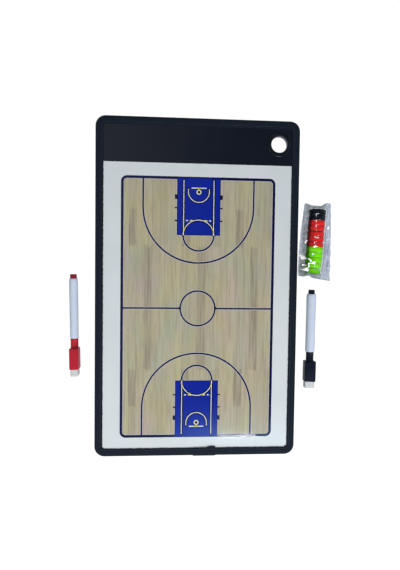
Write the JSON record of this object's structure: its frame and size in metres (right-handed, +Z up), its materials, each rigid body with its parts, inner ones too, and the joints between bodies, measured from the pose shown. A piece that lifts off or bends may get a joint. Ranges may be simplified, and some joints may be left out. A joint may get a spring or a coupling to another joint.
{
  "type": "tactics board",
  "caption": "Flat basketball tactics board with a taped edge and a hanging eyelet, lying with its capped dry-wipe markers and a clear pouch of round magnets.",
  "frame": {"origin": "middle of the board's outline, on the table that it lies on", "axes": "+Z up out of the board's printed face, +Y towards its head, +X towards the side of its eyelet"},
  "size_m": [0.3091, 0.4006, 0.0206],
  "materials": {
    "printed_sheet": "coated print, wipe-clean gloss",
    "sheet_steel": "plain rolled sheet",
    "core": "foamed plastic board",
    "plain_sheet": "plain coated sheet",
    "binding_tape": "woven tape",
    "seam_thread": "twisted polyester thread",
    "black_metal": "glossy black enamel",
    "white_barrel": "moulded, glossy",
    "red_plastic": "moulded, satin",
    "black_plastic": "moulded, satin",
    "ink_fibre": "bundled fibre in a film sleeve",
    "red_nib_fibre": "ink-soaked fibre",
    "black_nib_fibre": "ink-soaked fibre",
    "eraser_felt": "pressed felt",
    "magnet_black": "moulded, glossy",
    "magnet_red": "moulded, glossy",
    "magnet_green": "moulded, glossy",
    "ferrite": "sintered, matt",
    "clear_film": "thin clear polyethylene film"
  },
  "bodies": {
    "board": {"front_sheet": "printed_sheet", "steel_sheet": "sheet_steel", "core_board": "core", "back_sheet": "plain_sheet", "edge_binding": "binding_tape", "needle_thread": "seam_thread", "bobbin_thread": "seam_thread", "eyelet": "black_metal", "eyelet_washer": "black_metal"},
    "red_marker": {"red_barrel": "white_barrel", "red_tail_plug": "red_plastic", "red_ink_reservoir": "ink_fibre", "red_nib_holder": "white_barrel", "red_nib": "red_nib_fibre"},
    "red_marker_cap": {"red_cap": "red_plastic", "red_eraser": "eraser_felt"},
    "black_marker": {"black_barrel": "white_barrel", "black_tail_plug": "black_plastic", "black_ink_reservoir": "ink_fibre", "black_nib_holder": "white_barrel", "black_nib": "black_nib_fibre"},
    "black_marker_cap": {"black_cap": "black_plastic", "black_eraser": "eraser_felt"},
    "magnet_bag": {"magnet_pouch": "clear_film"},
    "magnet_stack": {"magnet_01_cup": "magnet_black", "magnet_02_cup": "magnet_black", "magnet_03_cup": "magnet_red", "magnet_04_cup": "magnet_red", "magnet_05_cup": "magnet_red", "magnet_06_cup": "magnet_red", "magnet_07_cup": "magnet_red", "magnet_08_cup": "magnet_green", "magnet_09_cup": "magnet_green", "magnet_10_cup": "magnet_green", "magnet_11_cup": "magnet_green", "magnet_12_cup": "magnet_green", "magnet_01_disc": "ferrite", "magnet_02_disc": "ferrite", "magnet_03_disc": "ferrite", "magnet_04_disc": "ferrite", "magnet_05_disc": "ferrite", "magnet_06_disc": "ferrite", "magnet_07_disc": "ferrite", "magnet_08_disc": "ferrite", "magnet_09_disc": "ferrite", "magnet_10_disc": "ferrite", "magnet_11_disc": "ferrite", "magnet_12_disc": "ferrite"}
  },
  "joints": [
    {"name": "red_marker_lift", "type": "slide", "parent": "board", "child": "red_marker", "axis": [0, 0, 1], "range_m": [0, 0.15]},
    {"name": "red_cap_pull", "type": "slide", "parent": "red_marker", "child": "red_marker_cap", "axis": [0.0185, -0.9998, 0], "range_m": [0, 0.045]},
    {"name": "black_marker_lift", "type": "slide", "parent": "board", "child": "black_marker", "axis": [0, 0, 1], "range_m": [0, 0.15]},
    {"name": "black_cap_pull", "type": "slide", "parent": "black_marker", "child": "black_marker_cap", "axis": [-0.0084, -1, 0], "range_m": [0, 0.045]},
    {"name": "magnet_bag_lift", "type": "slide", "parent": "board", "child": "magnet_bag", "axis": [0, 0, 1], "range_m": [0, 0.15]},
    {"name": "magnet_stack_shift", "type": "slide", "parent": "magnet_bag", "child": "magnet_stack", "axis": [0.0628, 0.998, 0], "range_m": [-0.0025, 0.0025]}
  ]
}
